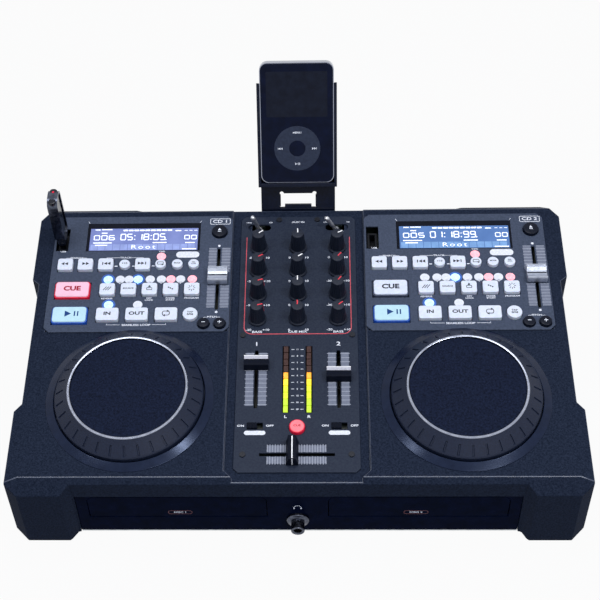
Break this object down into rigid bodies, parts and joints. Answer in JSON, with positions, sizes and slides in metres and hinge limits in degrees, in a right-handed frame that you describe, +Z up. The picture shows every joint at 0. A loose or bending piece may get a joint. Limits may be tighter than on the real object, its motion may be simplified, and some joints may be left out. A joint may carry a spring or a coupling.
{
  "type": "dual cd player with mixer",
  "caption": "Table-top console for mixing music: two disc drawers, two jog wheels with key panels, a mixer strip between them and a dock that holds a pocket player.",
  "frame": {"origin": "under the middle of the whole outline, on the plane of the feet", "axes": "+X to the right of the person using it, +Y to the back, +Z up"},
  "size_m": [0.4468, 0.3336, 0.2191],
  "materials": {
    "shell": "fine grained, dark blue-black",
    "pan": "satin black sheet",
    "foot": "matt black",
    "front_panel": "smooth, near black",
    "phone_socket": "smooth black with a bright nut",
    "chassis": "zinc plated",
    "mechanism": "black moulding with steel rods",
    "faceplate": "satin grey",
    "mixer_plate": "satin dark grey",
    "key": "pale grey, soft sheen",
    "black_key": "smooth black",
    "start_key": "pale translucent, lit from below",
    "display": "blue backlit window in a black frame",
    "port": "plated shell",
    "jog_bezel": "shiny dark ring",
    "jog_wheel": "satin with a bright rim",
    "jog_disc": "fine grained",
    "lens": "translucent",
    "board": "green laminate",
    "supply": "laminate with wound core",
    "back_panel": "satin black sheet",
    "back_socket": "black bodies with plated barrels",
    "dock": "satin black",
    "screw": "blackened",
    "tray": "smooth, near black",
    "silver_fader": "silver lacquer",
    "toggle": "bright plated",
    "slider": "black",
    "knob": "soft black",
    "black_fader": "black with a pale line",
    "listen_key": "translucent, lit red",
    "player": "glossy dark face, bright back",
    "stick": "black with silver sides"
  },
  "bodies": {
    "console": {"top_shell": "shell", "base_pan": "pan", "rubber_feet": "foot", "front_panel": "front_panel", "headphone_jack": "phone_socket", "drive_chassis": "chassis", "disc_mechanisms": "mechanism", "faceplate_left": "faceplate", "function_keys_left": "key", "bend_keys_left": "black_key", "faceplate_right": "faceplate", "function_keys_right": "key", "bend_keys_right": "black_key", "mixer_plate": "mixer_plate", "display_modules": "display", "usb_sockets": "port", "jog_mounts": "jog_bezel", "indicator_lenses": "lens", "circuit_boards": "board", "power_supply": "supply", "back_panel": "back_panel", "back_sockets": "back_socket", "dock_cradle": "dock", "screws": "screw"},
    "drawer_left": {"tray_left": "tray"},
    "jog_left": {"jog_wheel_left": "jog_wheel", "jog_disc_left": "jog_disc"},
    "pitch_left": {"pitch_fader_left": "silver_fader"},
    "cue_left": {"cue_key_left": "start_key"},
    "play_left": {"play_key_left": "start_key"},
    "eject_left": {"eject_key_left": "black_key"},
    "toggle_left": {"source_toggle_left": "toggle"},
    "start_switch_left": {"fader_start_switch_left": "slider"},
    "drawer_right": {"tray_right": "tray"},
    "jog_right": {"jog_wheel_right": "jog_wheel", "jog_disc_right": "jog_disc"},
    "pitch_right": {"pitch_fader_right": "silver_fader"},
    "cue_right": {"cue_key_right": "start_key"},
    "play_right": {"play_key_right": "start_key"},
    "eject_right": {"eject_key_right": "black_key"},
    "toggle_right": {"source_toggle_right": "toggle"},
    "start_switch_right": {"fader_start_switch_right": "slider"},
    "bass_left": {"bass_knob_left": "knob"},
    "bass_centre": {"bass_knob_centre": "knob"},
    "bass_right": {"bass_knob_right": "knob"},
    "middle_left": {"middle_knob_left": "knob"},
    "middle_centre": {"middle_knob_centre": "knob"},
    "middle_right": {"middle_knob_right": "knob"},
    "treble_left": {"treble_knob_left": "knob"},
    "treble_centre": {"treble_knob_centre": "knob"},
    "treble_right": {"treble_knob_right": "knob"},
    "gain_left": {"gain_knob_left": "knob"},
    "gain_centre": {"gain_knob_centre": "knob"},
    "gain_right": {"gain_knob_right": "knob"},
    "channel_one": {"channel_fader_one": "black_fader"},
    "channel_two": {"channel_fader_two": "black_fader"},
    "cross": {"crossfader": "black_fader"},
    "listen": {"listen_key": "listen_key"},
    "player": {"pocket_player": "player"},
    "stick": {"memory_stick": "stick"}
  },
  "joints": [
    {"name": "drawer_slide_left", "type": "slide", "parent": "console", "child": "drawer_left", "axis": [0, -1, 0], "range_m": [0, 0.135]},
    {"name": "jog_spin_left", "type": "hinge", "parent": "console", "child": "jog_left", "pos_m": [-0.132, -0.08235, 0.08084], "axis": [0, -0.0872, 0.9962], "continuous": true},
    {"name": "pitch_slide_left", "type": "slide", "parent": "console", "child": "pitch_left", "axis": [0, 0.9962, 0.0872], "range_m": [-0.028, 0.028]},
    {"name": "cue_press_left", "type": "slide", "parent": "console", "child": "cue_left", "axis": [0, 0.0872, -0.9962], "range_m": [0, 0.001], "stiffness_N_per_m": 300, "springref_m": -0.0006},
    {"name": "play_press_left", "type": "slide", "parent": "console", "child": "play_left", "axis": [0, 0.0872, -0.9962], "range_m": [0, 0.001], "stiffness_N_per_m": 300, "springref_m": -0.0006},
    {"name": "eject_press_left", "type": "slide", "parent": "console", "child": "eject_left", "axis": [0, 0.0872, -0.9962], "range_m": [0, 0.001], "stiffness_N_per_m": 300, "springref_m": -0.0006},
    {"name": "toggle_swing_left", "type": "hinge", "parent": "console", "child": "toggle_left", "pos_m": [-0.033, 0.09061, 0.08994], "axis": [0, 0.9962, 0.0872], "range_deg": [-13, 47]},
    {"name": "start_switch_slide_left", "type": "slide", "parent": "console", "child": "start_switch_left", "axis": [1, 0, 0], "range_m": [0, 0.0042]},
    {"name": "drawer_slide_right", "type": "slide", "parent": "console", "child": "drawer_right", "axis": [0, -1, 0], "range_m": [0, 0.135]},
    {"name": "jog_spin_right", "type": "hinge", "parent": "console", "child": "jog_right", "pos_m": [0.132, -0.08235, 0.08084], "axis": [0, -0.0872, 0.9962], "continuous": true},
    {"name": "pitch_slide_right", "type": "slide", "parent": "console", "child": "pitch_right", "axis": [0, 0.9962, 0.0872], "range_m": [-0.028, 0.028]},
    {"name": "cue_press_right", "type": "slide", "parent": "console", "child": "cue_right", "axis": [0, 0.0872, -0.9962], "range_m": [0, 0.001], "stiffness_N_per_m": 300, "springref_m": -0.0006},
    {"name": "play_press_right", "type": "slide", "parent": "console", "child": "play_right", "axis": [0, 0.0872, -0.9962], "range_m": [0, 0.001], "stiffness_N_per_m": 300, "springref_m": -0.0006},
    {"name": "eject_press_right", "type": "slide", "parent": "console", "child": "eject_right", "axis": [0, 0.0872, -0.9962], "range_m": [0, 0.001], "stiffness_N_per_m": 300, "springref_m": -0.0006},
    {"name": "toggle_swing_right", "type": "hinge", "parent": "console", "child": "toggle_right", "pos_m": [0.033, 0.09061, 0.08994], "axis": [0, 0.9962, 0.0872], "range_deg": [-2, 58]},
    {"name": "start_switch_slide_right", "type": "slide", "parent": "console", "child": "start_switch_right", "axis": [1, 0, 0], "range_m": [0, 0.0042]},
    {"name": "bass_turn_left", "type": "hinge", "parent": "console", "child": "bass_left", "pos_m": [-0.033, -0.00605, 0.08751], "axis": [0, -0.0872, 0.9962], "range_deg": [-75, 225]},
    {"name": "bass_turn_centre", "type": "hinge", "parent": "console", "child": "bass_centre", "pos_m": [0, -0.00605, 0.08751], "axis": [0, -0.0872, 0.9962], "range_deg": [-150, 150]},
    {"name": "bass_turn_right", "type": "hinge", "parent": "console", "child": "bass_right", "pos_m": [0.033, -0.00605, 0.08751], "axis": [0, -0.0872, 0.9962], "range_deg": [-100, 200]},
    {"name": "middle_turn_left", "type": "hinge", "parent": "console", "child": "middle_left", "pos_m": [-0.033, 0.01861, 0.08967], "axis": [0, -0.0872, 0.9962], "range_deg": [-80, 220]},
    {"name": "middle_turn_centre", "type": "hinge", "parent": "console", "child": "middle_centre", "pos_m": [0, 0.01861, 0.08967], "axis": [0, -0.0872, 0.9962], "range_deg": [-150, 150]},
    {"name": "middle_turn_right", "type": "hinge", "parent": "console", "child": "middle_right", "pos_m": [0.033, 0.01861, 0.08967], "axis": [0, -0.0872, 0.9962], "range_deg": [-115, 185]},
    {"name": "treble_turn_left", "type": "hinge", "parent": "console", "child": "treble_left", "pos_m": [-0.033, 0.04327, 0.09183], "axis": [0, -0.0872, 0.9962], "range_deg": [-90, 210]},
    {"name": "treble_turn_centre", "type": "hinge", "parent": "console", "child": "treble_centre", "pos_m": [0, 0.04327, 0.09183], "axis": [0, -0.0872, 0.9962], "range_deg": [-95, 205]},
    {"name": "treble_turn_right", "type": "hinge", "parent": "console", "child": "treble_right", "pos_m": [0.033, 0.04327, 0.09183], "axis": [0, -0.0872, 0.9962], "range_deg": [-110, 190]},
    {"name": "gain_turn_left", "type": "hinge", "parent": "console", "child": "gain_left", "pos_m": [-0.033, 0.06792, 0.09398], "axis": [0, -0.0872, 0.9962], "range_deg": [-99, 201]},
    {"name": "gain_turn_centre", "type": "hinge", "parent": "console", "child": "gain_centre", "pos_m": [0, 0.06792, 0.09398], "axis": [0, -0.0872, 0.9962], "range_deg": [-150, 150]},
    {"name": "gain_turn_right", "type": "hinge", "parent": "console", "child": "gain_right", "pos_m": [0.033, 0.06792, 0.09398], "axis": [0, -0.0872, 0.9962], "range_deg": [-88, 212]},
    {"name": "channel_slide_one", "type": "slide", "parent": "console", "child": "channel_one", "axis": [0, 0.9962, 0.0872], "range_m": [-0.037, 0.011]},
    {"name": "channel_slide_two", "type": "slide", "parent": "console", "child": "channel_two", "axis": [0, 0.9962, 0.0872], "range_m": [-0.026, 0.022]},
    {"name": "cross_slide", "type": "slide", "parent": "console", "child": "cross", "axis": [1, 0, 0], "range_m": [-0.0225, 0.0295]},
    {"name": "listen_press", "type": "slide", "parent": "console", "child": "listen", "axis": [0, 0.0872, -0.9962], "range_m": [0, 0.001], "stiffness_N_per_m": 300, "springref_m": -0.0006},
    {"name": "player_lift", "type": "slide", "parent": "console", "child": "player", "axis": [0, 0.4431, 0.8965], "range_m": [0, 0.09]},
    {"name": "stick_pull", "type": "slide", "parent": "console", "child": "stick", "axis": [0, -0.0872, 0.9962], "range_m": [0, 0.014]}
  ]
}
